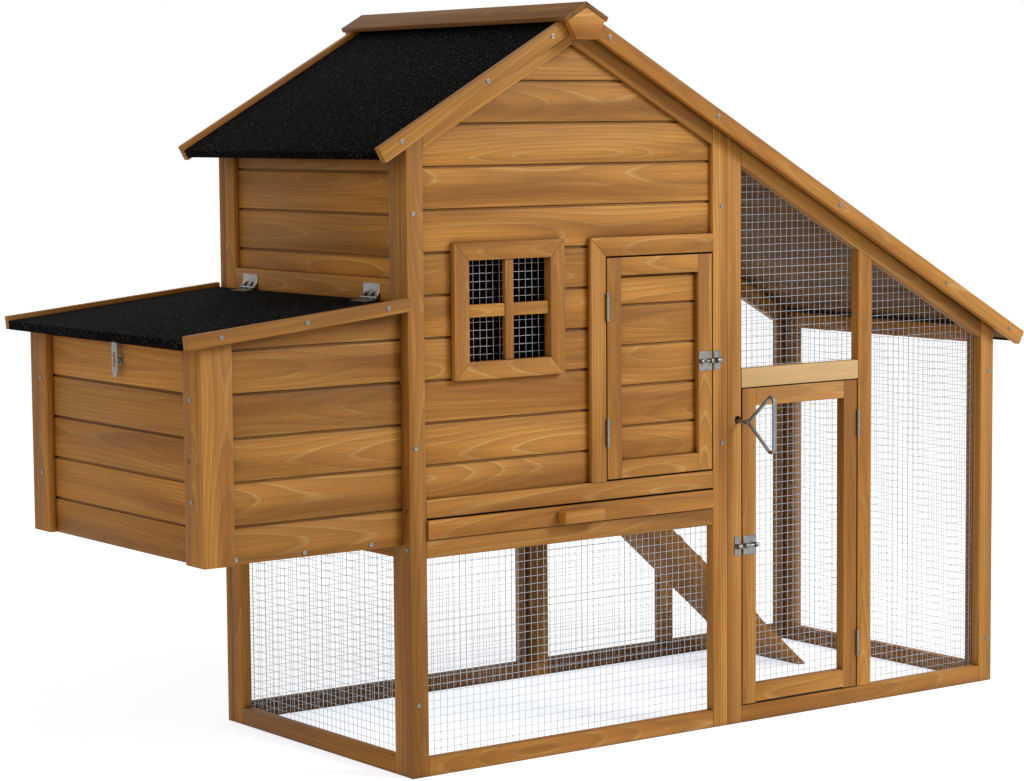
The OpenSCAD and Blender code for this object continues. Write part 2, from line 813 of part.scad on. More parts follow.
module tray_pan() {
  z = [tray_z[0] - 0.5, tray_z[1] - 3];
  placed() color(zinc) difference() {
    bar(tray_x, [14 + gap, tray_back], z);
    bar([tray_x[0] + 1.2, tray_x[1] - 1.2], [15.3, tray_back - 1.2], [z[0] + 1.2, z[1] + eps]);
  }
}

// Lid deck and its two rim boards
module lid_boards() {
  w = (lid_len - 1.5 - 5.5) / 5;
  placed() color(wood) lid_face() {
    for (i = [0 : 4]) bar([5.5 + i * w, 5.5 + (i + 1) * w - gap],
      [gap, depth - gap], [-10.5, -1.5 - gap]);
    for (y = [[-12, -gap], [depth + gap, depth + 12]]) bar([1, lid_len], y, [-14, lid_rim]);
  }
}

module lid_felt() {
  placed() color(felt_black) lid_face() {
    bar([5.5, lid_len], [gap, depth - gap], [-1.5, 0]);
    bar([lid_len - 1.4, lid_len], [gap, depth - gap], [-14, 0]);
  }
}

// Moving leaves of the lid hinges, the fixed half of the hasp hinge and the rim screws
module lid_hardware() {
  placed() color(zinc) {
    for (y = lid_hinge_y) {
      translate([lid_axis()[0], y, lid_axis()[1]]) rotate([-90, 0, 0]) moving_knuckles(hinge_h);
      lid_face() {
        bar([9, 27], [y, y + hinge_h], [gap, gap + 0.9]);
        for (i = [1, 3]) slab_y([[5, 1.2], [9, gap], [10, gap], [10, gap + 0.9], [6.6, 2.4], [5, 2.2]],
          [y + i * hinge_h / 5 + 0.3, y + (i + 1) * hinge_h / 5 - 0.3]);
      }
    }
    translate([hasp_axis()[0], hasp_y - 12, hasp_axis()[1]]) rotate([-90, 0, 0]) {
      cylinder(r = 0.9, h = 24);
      for (i = [0, 2]) translate([0, 0, i * 8]) cylinder(r = 2, h = 8);
    }
    for (y = [hasp_y - 12, hasp_y + 4]) lid_face() bar([hasp_s - 1, hasp_s + 14], [y, y + 8], [-12.6, -10.6]);
    lid_face() for (x = [44, 190, 338]) {
      screw_head([x, -12, -3], facing("front"));
      screw_head([x, depth + 12, -3], facing("back"));
    }
  }
}
hasp_s = 362;
function hasp_axis() = [-(hasp_s * cos(lid_pitch) - 13.6 * sin(lid_pitch)),
  lid_z - hasp_s * sin(lid_pitch) - 13.6 * cos(lid_pitch)];

// The slotted strap that hangs from the lid over the eye
module hasp_strap() {
  placed() color(zinc) translate([hasp_axis()[0], hasp_y, hasp_axis()[1]]) {
    translate([0, -3.7, 0]) rotate([-90, 0, 0]) difference() {
      cylinder(r = 2, h = 7.4);
      translate([0, 0, -eps]) cylinder(r = 0.9 + pin_play, h = 12);
    }
    difference() {
      slab_x([[-3.7, -1.5], [3.7, -1.5], [3.7, -5], [9, -8], [9, -53], [4, -63], [-4, -63],
        [-9, -53], [-9, -8], [-3.7, -5]], [-0.6, 0.6]);
      bar([-2, 2], [-3.2, 3.2], [-47, -24]);
    }
  }
}

module slide_door() {
  placed() color(wood_dark) difference() {
    union() {
      bar(slide_x, slide_y, slide_z);
      bar([slide_x[1] - eps, house_w + 31], [slide_y[0], slide_y[0] + 30], [rod_z - 10, rod_z + 10]);
    }
    translate([rod_x, slide_y[0] - eps, rod_z]) rotate([-90, 0, 0])
      cylinder(r = rod_r + 0.05, h = 26 + eps);
  }
}

// Steel pull rod with a closed wire loop for the hand
module wire(a, b) {
  d = b - a;
  translate([0, a[0], a[1]]) rotate([atan2(d[1], d[0]), 0, 0]) rotate([-90, 0, 0])
    cylinder(r = rod_r, h = norm(d));
}
module pull_rod() {
  tip = [-rod_out, 0];
  up = [-rod_out - loop_len, loop_half];
  down = [up[0], -loop_half];
  placed() color("#8d9196") translate([rod_x, 0, rod_z]) {
    wire(tip, [slide_y[0] + 25, 0]);
    wire(up, tip);
    wire(down, tip);
    wire(up, down);
    for (p = [tip, up, down]) translate([0, p[0], p[1]]) sphere(r = rod_r + bead);
  }
}

// Ramp board with its foot cut level with the ground, and its cross cleats
module ramp() {
  top = ramp_leaf_z[0] - gap;
  placed() color(wood_dark) translate([ramp_pivot[0], 0, ramp_pivot[1]]) difference() {
    rotate([0, ramp_angle, 0]) {
      bar([6, ramp_len + 12], ramp_y, [top - ramp_t, top]);
      for (i = [0 : 7]) bar([60 + i * 60, 72 + i * 60], [ramp_y[0] + 8, ramp_y[1] - 8],
        [top + gap, top + cleat_h]);
    }
    bar([0, 2 * ramp_len], [0, depth], [-2 * ramp_pivot[1], -ramp_pivot[1]]);
  }
}

// Outline of the finger that joins the ramp's leaf to its knuckle i
function finger(i) = let (a = i * hinge_h / 5 + 0.6, b = (i + 1) * hinge_h / 5 - 0.6, x = pin_r + 0.4)
  [[5, b], [x, b], [x, a], [5, a]];

module ramp_hinge_leaves() {
  placed() color(zinc) for (y = ramp_hinge_y) translate([ramp_pivot[0], y, ramp_pivot[1]]) {
    rotate([-90, 0, 0]) moving_knuckles(hinge_h);
    rotate([0, ramp_angle, 0]) translate([0, 0, ramp_leaf_z[0]])
      linear_extrude(ramp_leaf_z[1] - ramp_leaf_z[0])
        polygon(concat([[24, 0], [24, hinge_h], [5, hinge_h]], finger(3), finger(1), [[5, 0]]));
  }
}

house_front_posts();
house_front_rails();
front_wall_boards();
window_casing();
window_bars();
window_mesh();
door_casing();
rafters();
run_front_posts();
run_front_rails();
front_mesh();
back_posts();
back_rails();
back_wall_boards();
back_mesh();
left_frame();
left_wall_boards();
left_mesh();
right_frame();
right_mesh();
inner_wall_frame();
inner_wall_boards();
slide_guides();
tray_runners();
perch();
nest_front_boards();
nest_left_boards();
nest_back_boards();
nest_corner_trims();
nest_floor();
nest_divider();
roof_boards_left();
roof_boards_right();
roof_felt();
verge_boards();
ridge_cap();
ridge_end_blocks();
frame_screws();
roof_screws();
fixed_hinge_leaves();
bolt_keepers();
hasp_staple();
house_door_frame();
house_door_boards();
house_door_hardware();
house_door_bolt();
run_door_frame();
run_door_mesh();
run_door_hardware();
run_door_bolt();
tray_front();
tray_pan();
lid_boards();
lid_felt();
lid_hardware();
hasp_strap();
slide_door();
pull_rod();
ramp();
ramp_hinge_leaves();
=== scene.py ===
"""Timber chicken coop with a wire run: a Blender add-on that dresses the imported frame."""

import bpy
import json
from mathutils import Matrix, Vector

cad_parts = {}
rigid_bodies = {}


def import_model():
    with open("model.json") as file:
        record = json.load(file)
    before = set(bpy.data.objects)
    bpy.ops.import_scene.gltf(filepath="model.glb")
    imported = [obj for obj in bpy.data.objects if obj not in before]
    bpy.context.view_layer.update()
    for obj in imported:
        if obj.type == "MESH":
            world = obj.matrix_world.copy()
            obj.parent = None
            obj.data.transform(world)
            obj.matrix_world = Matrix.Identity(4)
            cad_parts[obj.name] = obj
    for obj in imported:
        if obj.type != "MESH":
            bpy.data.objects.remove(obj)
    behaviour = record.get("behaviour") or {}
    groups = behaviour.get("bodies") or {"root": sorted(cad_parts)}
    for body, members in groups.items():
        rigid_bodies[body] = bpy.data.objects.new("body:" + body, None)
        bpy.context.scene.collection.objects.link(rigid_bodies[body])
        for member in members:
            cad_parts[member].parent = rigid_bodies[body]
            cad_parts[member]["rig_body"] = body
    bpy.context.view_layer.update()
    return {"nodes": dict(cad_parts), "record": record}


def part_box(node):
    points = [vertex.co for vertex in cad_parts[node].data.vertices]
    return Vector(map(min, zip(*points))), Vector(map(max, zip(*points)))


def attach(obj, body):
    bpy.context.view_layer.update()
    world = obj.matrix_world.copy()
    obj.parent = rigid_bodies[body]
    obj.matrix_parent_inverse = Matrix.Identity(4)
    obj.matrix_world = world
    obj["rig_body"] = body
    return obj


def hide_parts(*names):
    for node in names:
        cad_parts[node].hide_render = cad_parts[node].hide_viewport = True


bl_info = {
    "name": "Chicken Coop",
    "version": (1, 0, 0),
    "blender": (4, 5, 0),
    "location": "View3D > Sidebar > Coop",
    "description": "Builds the stained fir hen house, its wire run, felt roof and fittings",
    "category": "Object",
}

import json
import math
import random

import bpy
import numpy as np
from mathutils import Vector

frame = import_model()
BODY = {n: o["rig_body"] for n, o in frame["nodes"].items()}
SLOT = {s["node"]: s["material_slot"] for s in frame["record"]["subparts"]}
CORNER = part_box("house_front_posts")[0]
MM = 0.001
ROD_RADIUS = 3 * MM
FELT_EDGE = 0.5 * MM

# Timber nodes of each group, with the way the grain runs: None is along the longest side
FRAME_TIMBER = {
    "house_front_posts": "Z", "run_front_posts": "Z", "back_posts": "Z",
    "house_front_rails": "X", "run_front_rails": "X", "back_rails": "X",
    "left_frame": None, "right_frame": None, "inner_wall_frame": None, "rafters": None,
}
CLADDING = {
    "front_wall_boards": "X", "back_wall_boards": "X", "left_wall_boards": "Y",
    "inner_wall_boards": "Y", "window_casing": None, "window_bars": None, "door_casing": None,
}
NEST_BOX = {
    "nest_front_boards": "X", "nest_back_boards": "X", "nest_left_boards": "Y",
    "nest_corner_trims": "Z", "nest_floor": "Y", "nest_divider": "X", "lid_boards": None,
}
ROOF_TIMBER = {
    "roof_boards_left": "Y", "roof_boards_right": "Y", "verge_boards": None,
    "ridge_cap": "Y", "ridge_end_blocks": "X",
}
DOORS = {
    "house_door_frame": None, "house_door_boards": "X", "run_door_frame": None,
    "slide_door": "Y", "ramp": None,
}
INSIDE = {"slide_guides": "Y", "tray_runners": "Y", "perch": None, "tray_front": "X"}
METAL = (
    "fixed_hinge_leaves", "bolt_keepers", "hasp_staple", "house_door_hardware",
    "house_door_bolt", "run_door_hardware", "run_door_bolt", "lid_hardware", "hasp_strap",
    "ramp_hinge_leaves", "frame_screws", "roof_screws",
)
# The webs of these fittings are too slim to have their edges eased
SHARP = ("lid_hardware",)
FELT = ("roof_felt", "lid_felt")
WIRE_PANELS = {
    "window_mesh": "Y", "front_mesh": "Y", "back_mesh": "Y", "run_door_mesh": "Y",
    "left_mesh": "X", "right_mesh": "X",
}
# The finish of each record slot, by what it is made of; the shade slot gets a darker, browner
# copy of the stained fir, as painted shade for parts in shadow
FINISHES = {
    "stained_fir": "honey_stained_fir", "stained_fir_shade": "brown_stained_fir",
    "roofing_felt": "mineral_faced_felt", "steel_rod": "drawn_steel_wire",
    "welded_mesh": "galvanised_welded_wire", "zinc_steel": "bright_zinc_plated_steel",
}
# Boards that took less stain show paler; the nest front boards and their corner trims are set
# darker. Each entry gives the share of the range, and from what height
PALER = {"run_front_rails": (0.9, 0.3), "run_door_frame": (0.35, 0.5),
         "door_casing": (0.2, 0.0), "verge_boards": (0.2, 0.0),
         "house_door_boards": (0.25, 0.0), "house_door_frame": (0.2, 0.0),
         "tray_front": (0.15, 0.0), "nest_front_boards": (-0.35, 0.0),
         "nest_corner_trims": (-0.15, 0.0)}


def shade(code):
    """sRGB hex to a linear colour with alpha."""
    part = [int(code[i : i + 2], 16) / 255 for i in (1, 3, 5)]
    return [c / 12.92 if c <= 0.04045 else ((c + 0.055) / 1.055) ** 2.4 for c in part] + [1.0]


def add(tree, kind, inputs=None, stops=None, **settings):
    """Adds a shader node with its settings, input values or links, and colour stops."""
    node = tree.nodes.new("ShaderNode" + kind)
    for key, value in settings.items():
        setattr(node, key, value)
    for key, value in (inputs or {}).items():
        if isinstance(value, bpy.types.NodeSocket):
            tree.links.new(value, node.inputs[key])
        else:
            node.inputs[key].default_value = value
    if stops:
        band = node.color_ramp.elements
        while len(band) < len(stops):
            band.new(1.0)
        for element, (place, colour) in zip(band, stops):
            element.position, element.color = place, colour
    return node


def material(name):
    """A new node material and its tree, emptied but for the output."""
    made = bpy.data.materials.new(name)
    made.use_nodes = True
    tree = made.node_tree
    tree.nodes.clear()
    return made, tree, tree.nodes.new("ShaderNodeOutputMaterial")


def times(tree, a, b):
    """The product of two values."""
    return add(tree, "Math", {0: a, 1: b}, operation="MULTIPLY").outputs[0]


def stretched(tree, place, factors):
    """Coordinates times a factor along each axis."""
    return add(tree, "VectorMath", {0: place, 1: factors}, operation="MULTIPLY").outputs[0]


def summed(tree, a, b):
    """The sum of two vectors."""
    return add(tree, "VectorMath", {0: a, 1: b}, operation="ADD").outputs[0]


def scaled(tree, colour, level):
    """A colour times a value."""
    return add(tree, "VectorMath", {0: colour, 3: level}, operation="SCALE").outputs[0]


def span(tree, value, start, end, low=0.0, high=1.0, kind="LINEAR"):
    """A value carried over from one range to another."""
    return add(tree, "MapRange", {"Value": value, 1: start, 2: end, 3: low, 4: high},
               interpolation_type=kind).outputs[0]


def mixed(tree, share, first, second):
    """A mix of two colours."""
    return add(tree, "Mix", {"Factor": share, 6: first, 7: second},
               data_type="RGBA").outputs[2]


def knots(tree, grain):
    """How far rare knots push the rings aside, and where their dark cores are."""
    # One cell of ten holds a knot, each cell 130 mm wide
    cells = add(tree, "TexVoronoi", {"Vector": grain, "Scale": 7.5, "Randomness": 0.9},
                feature="F1")
    pick = add(tree, "SeparateColor", {0: cells.outputs["Color"]}).outputs[0]
    chosen = add(tree, "Math", {0: pick, 1: 0.90}, operation="GREATER_THAN").outputs[0]
    far = cells.outputs["Distance"]
    lift = times(tree, times(tree, span(tree, far, 0.22, 0.0, kind="SMOOTHSTEP"), chosen), 0.014)
    core = times(tree, span(tree, far, 0.045, 0.022, kind="SMOOTHSTEP"), chosen)
    return add(tree, "CombineXYZ", {"Z": lift}).outputs[0], core


def growth_rings(tree, grain, shove):
    """The rings of a stem that wanders over about 600 mm, which closes them into arches."""
    slow = stretched(tree, grain, (1.7, 2.2, 2.2))
    wander = add(tree, "TexNoise", {"Vector": slow, "Scale": 1.0, "Detail": 1.0})
    centred = add(tree, "VectorMath", {0: wander.outputs["Color"], 1: (0.5, 0.5, 0.5)},
                  operation="SUBTRACT").outputs[0]
    sway = stretched(tree, centred, (0.0, 0.024, 0.075))
    stem = stretched(tree, grain, (0.04, 1.0, 1.0))
    bent = summed(tree, summed(tree, stem, sway), shove)
    # Rings 6 mm apart: the wave repeats every 0.314 / scale metres
    return add(tree, "TexWave",
               {"Vector": bent, "Scale": 52.0, "Distortion": 1.6, "Detail": 2.0,
                "Detail Scale": 1.0, "Detail Roughness": 0.5},
               wave_type="RINGS", rings_direction="X", wave_profile="SAW").outputs["Fac"]


def stained_fir(name, ground, deep, line, dull=0.0):
    """Planed fir under a honey stain: the soft early wood drinks the stain and turns golden
    brown, the hard late wood stays pale, so the rings show as long arches and streaks."""
    made, tree, out = material(name)
    grain = add(tree, "Attribute", attribute_name="grain").outputs["Vector"]
    tone = add(tree, "Attribute", attribute_name="tone").outputs["Fac"]
    shove, core = knots(tree, grain)
    rings = growth_rings(tree, grain, shove)
    late = add(tree, "ValToRGB", {"Fac": rings},
               stops=[(0.0, (0, 0, 0, 1)), (0.76, (0.03, 0.03, 0.03, 1)),
                      (0.92, (1, 1, 1, 1)), (1.0, (0.15, 0.15, 0.15, 1))]).outputs["Color"]
    # Fibres about 1 mm wide and 100 mm long, and broad uneven soaking of the stain
    fibre = add(tree, "TexNoise",
                {"Vector": stretched(tree, grain, (7.0, 520.0, 520.0)), "Scale": 1.0,
                 "Detail": 3.0, "Roughness": 0.6}).outputs["Fac"]
    soak = add(tree, "TexNoise",
               {"Vector": stretched(tree, grain, (1.6, 24.0, 24.0)), "Scale": 1.0,
                "Detail": 2.0}).outputs["Fac"]
    base = mixed(tree, span(tree, soak, 0.34, 0.62), deep, ground)
    # The early wood darkens towards each ring before the pale line
    browned = scaled(tree, base, span(tree, rings, 0.2, 0.75, 1.04, 0.86))
    lined = mixed(tree, times(tree, late, span(tree, soak, 0.40, 0.66, 0.10, 0.75)),
                  browned, line)
    level = times(tree, span(tree, fibre, 0.30, 0.72, 0.82, 1.16),
                  span(tree, tone, 0.0, 1.5, 0.78, 1.45))
    knotted = mixed(tree, times(tree, core, 0.7), scaled(tree, lined, level), shade("#5a3216"))
    # Boards with little stain are nearly bare wood
    pale = mixed(tree, span(tree, tone, 0.95, 1.4, 0.0, 0.72), knotted, shade("#e3c799"))
    # Painted shade: ambient occlusion darkens the colour in joints, grooves and corners, where
    # less light reaches
    painted_crevice_shade = add(tree, "AmbientOcclusion", {"Distance": 0.013}, samples=6).outputs["AO"]
    crevice_shaded = scaled(tree, pale, span(tree, painted_crevice_shade, 0.15, 0.72, 0.18, 1.0))
    height = add(tree, "Math", {0: fibre, 1: late}, operation="ADD").outputs[0]
    bump = add(tree, "Bump", {"Strength": 0.18, "Distance": 0.0004, "Height": height})
    gloss = span(tree, fibre, 0.0, 1.0, 0.52 + dull, 0.68 + dull)
    skin = add(tree, "BsdfPrincipled",
               {"Base Color": crevice_shaded, "Roughness": gloss, "IOR": 1.5,
                "Specular IOR Level": 0.35, "Normal": bump.outputs[0]})
    tree.links.new(skin.outputs[0], out.inputs["Surface"])
    return made


def mineral_felt(name, felt_colour):
    """Bitumen felt faced with crushed slate: matt black grit with a few bright grains."""
    made, tree, out = material(name)
    place = add(tree, "TexCoord").outputs["Object"]
    # Grains are 1.2 mm across
    grit = add(tree, "TexVoronoi", {"Vector": place, "Scale": 800.0}, feature="F1")
    pick = add(tree, "SeparateColor", {0: grit.outputs["Color"]})
    uneven = add(tree, "TexNoise", {"Vector": place, "Scale": 9.0, "Detail": 3.0})
    level = times(tree, span(tree, pick.outputs[1], 0.0, 1.0, 0.4, 1.7),
                  span(tree, uneven.outputs["Fac"], 0.3, 0.7, 0.75, 1.3))
    grain = mixed(tree, span(tree, pick.outputs[0], 0.93, 0.99),
                  scaled(tree, tuple(felt_colour), level), shade("#63676c"))
    bump = add(tree, "Bump", {"Strength": 0.6, "Distance": 0.0006,
                              "Height": grit.outputs["Distance"]})
    skin = add(tree, "BsdfPrincipled", {"Base Color": grain, "Roughness": 0.92,
                                        "Specular IOR Level": 0.03, "Normal": bump.outputs[0]})
    tree.links.new(skin.outputs[0], out.inputs["Surface"])
    return made


def bare_metal(name, colour, rough, cloud, dents):
    """Zinc or drawn steel: clouded reflections, small dents and faint handling marks."""
    made, tree, out = material(name)
    place = add(tree, "TexCoord").outputs["Object"]
    # Plating clouds are about 6 mm across, the marks under 1 mm
    clouds = add(tree, "TexNoise", {"Vector": place, "Scale": 160.0, "Detail": 2.0})
    marks = add(tree, "TexNoise", {"Vector": place, "Scale": 1400.0, "Detail": 3.0})
    tint = scaled(tree, tuple(colour[:3]),
                  span(tree, clouds.outputs["Fac"], 0.3, 0.7, 1.0 - cloud, 1.0))
    gloss = span(tree, marks.outputs["Fac"], 0.3, 0.7, rough, rough + 0.14)
    bump = add(tree, "Bump", {"Strength": dents, "Distance": 0.0006,
                              "Height": clouds.outputs["Fac"]})
    skin = add(tree, "BsdfPrincipled", {"Base Color": tint, "Metallic": 1.0,
                                        "Roughness": gloss, "Normal": bump.outputs[0]})
    tree.links.new(skin.outputs[0], out.inputs["Surface"])
    return made


def finish_of(slot):
    """The material of a record slot, made the first time it is asked for."""
    name = FINISHES[slot]
    if name in bpy.data.materials:
        return bpy.data.materials[name]
    looks = bpy.context.scene.coop_looks
    if slot == "stained_fir":
        return stained_fir(name, looks.stain_colour, looks.stain_deep, looks.late_wood)
    if slot == "stained_fir_shade":
        # Painted shade: the same stained fir made darker and browner, for parts that stand in
        # shadow
        return stained_fir(name, shade("#865c2e"), shade("#62411c"), shade("#a8824e"), dull=0.08)
    if slot == "roofing_felt":
        return mineral_felt(name, looks.felt_colour)
    if slot == "steel_rod":
        return bare_metal(name, shade("#8b9096"), rough=0.38, cloud=0.18, dents=0.05)
    if slot == "welded_mesh":
        return bare_metal(name, shade("#bcc0c4"), rough=0.42, cloud=0.22, dents=0.05)
    return bare_metal(name, looks.zinc_colour, rough=0.26, cloud=0.30, dents=0.8)


def only(piece):
    """Makes one object the only selected and the active one."""
    for other in bpy.context.view_layer.objects:
        other.select_set(False)
    piece.hide_set(False)
    piece.select_set(True)
    bpy.context.view_layer.objects.active = piece


def apply(piece, kind, **settings):
    """Adds a modifier and applies it."""
    only(piece)
    modifier = piece.modifiers.new(kind, kind)
    for key, value in settings.items():
        setattr(modifier, key, value)
    bpy.ops.object.modifier_apply(modifier=modifier.name)


def islands(mesh):
    """The number of the loose part that each vertex belongs to."""
    label = np.arange(len(mesh.vertices))
    ends = np.zeros(len(mesh.edges) * 2, int)
    mesh.edges.foreach_get("vertices", ends)
    a, b = ends[0::2], ends[1::2]
    while True:
        low = np.minimum(label[a], label[b])
        after = label.copy()
        np.minimum.at(after, a, low)
        np.minimum.at(after, b, low)
        after = after[after]
        if (after == label).all():
            return label
        label = after


def points_of(mesh):
    """Vertex places as an array."""
    co = np.zeros(len(mesh.vertices) * 3)
    mesh.vertices.foreach_get("co", co)
    return co.reshape(-1, 3)


def snapped(direction):
    """A unit vector, set on a main axis where it is within three degrees of it."""
    direction = direction / np.linalg.norm(direction)
    k = int(np.argmax(abs(direction)))
    if abs(direction[k]) > math.cos(math.radians(3)):
        return np.eye(3)[k]
    return direction * np.sign(direction[k])


def lay_grain(piece, along):
    """Gives every loose board its own grain coordinates, in metres, and its own tone."""
    mesh = piece.data
    co, label = points_of(mesh), islands(mesh)
    parts = sorted(
        (tuple(np.round((co[label == k].min(0) + co[label == k].max(0)) / 2, 4)), k)
        for k in np.unique(label)
    )
    grain, tone = np.zeros_like(co), np.zeros(len(co))
    draw = random.Random(piece.name)
    for centre, k in parts:
        pick = label == k
        local = co[pick] - np.array(centre)
        spread = np.linalg.eigh(local.T @ local)[1]
        run = np.eye(3)["XYZ".index(along)] if along else snapped(spread[:, 2])
        flat = local - np.outer(local @ run, run)
        across = snapped(np.linalg.eigh(flat.T @ flat)[1][:, 2])
        depth = np.cross(run, across)
        start = (draw.uniform(-4, 4), draw.gauss(0, 0.014), draw.uniform(0.010, 0.040))
        grain[pick] = local @ np.stack([run, across, depth], 1) + start
        pale, height = PALER.get(piece["coop_node"], (0, 0))
        level = draw.gauss(0.5, 0.2) + (pale if centre[2] > height else 0)
        tone[pick] = min(1.5, max(0, level))
    mesh.attributes.new("grain", "FLOAT_VECTOR", "POINT").data.foreach_set(
        "vector", grain.ravel().astype(np.float32))
    mesh.attributes.new("tone", "FLOAT", "POINT").data.foreach_set(
        "value", tone.astype(np.float32))


def dress(piece, node):
    """Gives a piece its finish, slot and body."""
    piece.data.materials.clear()
    piece.data.materials.append(finish_of(SLOT[node]))
    piece.data.polygons.foreach_set("material_index", [0] * len(piece.data.polygons))
    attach(piece, BODY[node])


def carry(node, edge):
    """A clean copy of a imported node, its edges eased, standing for that node."""
    piece = bpy.data.objects.new("fine_" + node, frame["nodes"][node].data.copy())
    bpy.context.scene.collection.objects.link(piece)
    piece["coop_node"] = node
    only(piece)
    bpy.ops.mesh.customdata_custom_splitnormals_clear()
    bpy.ops.object.mode_set(mode="EDIT")
    bpy.ops.mesh.select_all(action="SELECT")
    bpy.ops.mesh.remove_doubles(threshold=1e-5)
    bpy.ops.mesh.dissolve_limited(angle_limit=math.radians(0.5))
    bpy.ops.object.mode_set(mode="OBJECT")
    if edge:
        apply(piece, "BEVEL", width=edge, segments=2, limit_method="ANGLE",
              angle_limit=math.radians(40), use_clamp_overlap=False)
    only(piece)
    bpy.ops.object.shade_smooth_by_angle(angle=math.radians(35))
    dress(piece, node)
    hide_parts(node)
    return piece


def carry_timber(group, edge):
    """Carries a group of timber nodes and lays their grain."""
    for node, along in group.items():
        lay_grain(carry(node, edge), along)


def joined(pieces, name):
    """Joins pieces into one object whose mesh holds its place."""
    only(pieces[0])
    for piece in pieces:
        piece.select_set(True)
    if len(pieces) > 1:
        bpy.ops.object.join()
    whole = bpy.context.view_layer.objects.active
    whole.name = whole.data.name = name
    bpy.ops.object.transform_apply(location=True, rotation=True, scale=True)
    return whole


def wire_row(start, end, step, count, radius):
    """Straight wires side by side: the first from start to end, each next one step on."""
    run = end - start
    bpy.ops.mesh.primitive_cylinder_add(
        vertices=6, radius=radius, depth=run.length, location=(start + end) / 2,
        rotation=run.to_track_quat("Z", "Y").to_euler())
    row = bpy.context.view_layer.objects.active
    only(row)
    bpy.ops.object.transform_apply(location=True, rotation=True, scale=True)
    apply(row, "ARRAY", count=count, use_relative_offset=False, use_constant_offset=True,
          constant_offset_displace=step)
    return row


def wire_panel(node, facing):
    """Welded mesh over each opening of a node: upright wires with level ones behind."""
    looks = bpy.context.scene.coop_looks
    source = frame["nodes"][node].data
    copy = bpy.data.objects.new("wires", source.copy())
    bpy.context.scene.collection.objects.link(copy)
    only(copy)
    bpy.ops.object.mode_set(mode="EDIT")
    bpy.ops.mesh.select_all(action="SELECT")
    bpy.ops.mesh.remove_doubles(threshold=1e-5)
    bpy.ops.object.mode_set(mode="OBJECT")
    co, label = points_of(copy.data), islands(copy.data)
    bpy.data.objects.remove(copy)
    u = 0 if facing == "Y" else 1
    w = 1 - u
    radius, pitch = looks.wire_diameter / 2, looks.mesh_pitch
    parts = []
    for k in np.unique(label):
        solid = co[label == k]
        lo, hi = solid.min(0), solid.max(0)
        sheet = (lo[w] + hi[w]) / 2
        tops = [max(p[2] for p in solid if abs(p[u] - e) < 1e-4) for e in (lo[u], hi[u])]
        rows = []
        for axis, layer in ((2, -1), (u, 1)):
            other = u if axis == 2 else 2
            count = int((hi[other] - lo[other]) / pitch)
            margin = (hi[other] - lo[other] - (count - 1) * pitch) / 2
            start, end, step = Vector(lo), Vector(lo), Vector((0, 0, 0))
            start[w] = end[w] = sheet + layer * radius * 0.9
            start[other] = end[other] = lo[other] + margin
            end[axis] = hi[axis]
            step[other] = pitch
            rows.append(wire_row(start, end, step, count, radius))
        grid = joined(rows, "wires")
        if abs(tops[0] - tops[1]) > MM:
            normal, edge = Vector((0, 0, hi[u] - lo[u])), Vector((0, 0, tops[0]))
            normal[u], edge[u] = tops[0] - tops[1], lo[u]
            bpy.ops.object.mode_set(mode="EDIT")
            bpy.ops.mesh.select_all(action="SELECT")
            bpy.ops.mesh.bisect(plane_co=edge, plane_no=normal.normalized(), use_fill=True,
                                clear_outer=True)
            bpy.ops.object.mode_set(mode="OBJECT")
        parts.append(grid)
    panel = joined(parts, "fine_" + node)
    bpy.ops.object.shade_smooth_by_angle(angle=math.radians(65))
    dress(panel, node)
    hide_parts(node)


def looped_wire(centre, reach, half, radius, bend):
    """A closed wire triangle in a YZ plane: from its apex out, round two bends and back."""
    apex = Vector(centre)
    up, down = apex + Vector((0, -reach, half)), apex + Vector((0, -reach, -half))
    pieces = []
    stops = [apex]
    for tip, before, after in ((up, apex, down), (down, up, apex)):
        to_before, to_after = (before - tip).normalized(), (after - tip).normalized()
        angle = to_before.angle(to_after)
        cut = bend / math.tan(angle / 2)
        hub = tip + (to_before + to_after).normalized() * bend / math.sin(angle / 2)
        stops += [tip + to_before * cut, tip + to_after * cut]
        bpy.ops.mesh.primitive_torus_add(
            major_radius=bend, minor_radius=radius, major_segments=48, minor_segments=12,
            location=hub, rotation=(0, math.pi / 2, 0))
        elbow = bpy.context.view_layer.objects.active
        only(elbow)
        bpy.ops.object.transform_apply(location=True, rotation=True, scale=True)
        bpy.ops.object.mode_set(mode="EDIT")
        for side in (to_before, to_after):
            bpy.ops.mesh.select_all(action="SELECT")
            bpy.ops.mesh.bisect(plane_co=hub, plane_no=side, clear_outer=True)
        bpy.ops.object.mode_set(mode="OBJECT")
        pieces.append(elbow)
    stops.append(apex)
    for start, end in zip(stops[0::2], stops[1::2]):
        pieces.append(round_bar(start, end, radius, 0.1 * MM, 12))
    return joined(pieces, "loop")


def round_bar(start, end, radius, chamfer, sides=20):
    """A round bar between two points, with its end rims eased."""
    run = end - start
    bpy.ops.mesh.primitive_cylinder_add(
        vertices=sides, radius=radius, depth=run.length, location=(start + end) / 2,
        rotation=run.to_track_quat("Z", "Y").to_euler())
    bar = bpy.context.view_layer.objects.active
    only(bar)
    bpy.ops.object.transform_apply(location=True, rotation=True, scale=True)
    apply(bar, "BEVEL", width=chamfer, segments=3, limit_method="ANGLE",
          angle_limit=math.radians(60))
    return bar


def seen_directly(tree):
    """1 for rays from the camera, from a mirror or through glass, 0 for lighting rays."""
    ray = add(tree, "LightPath").outputs
    sight = add(tree, "Math", {0: ray["Is Camera Ray"], 1: ray["Is Glossy Ray"]},
                operation="MAXIMUM").outputs[0]
    return add(tree, "Math", {0: sight, 1: ray["Is Transmission Ray"]},
               operation="MAXIMUM").outputs[0]


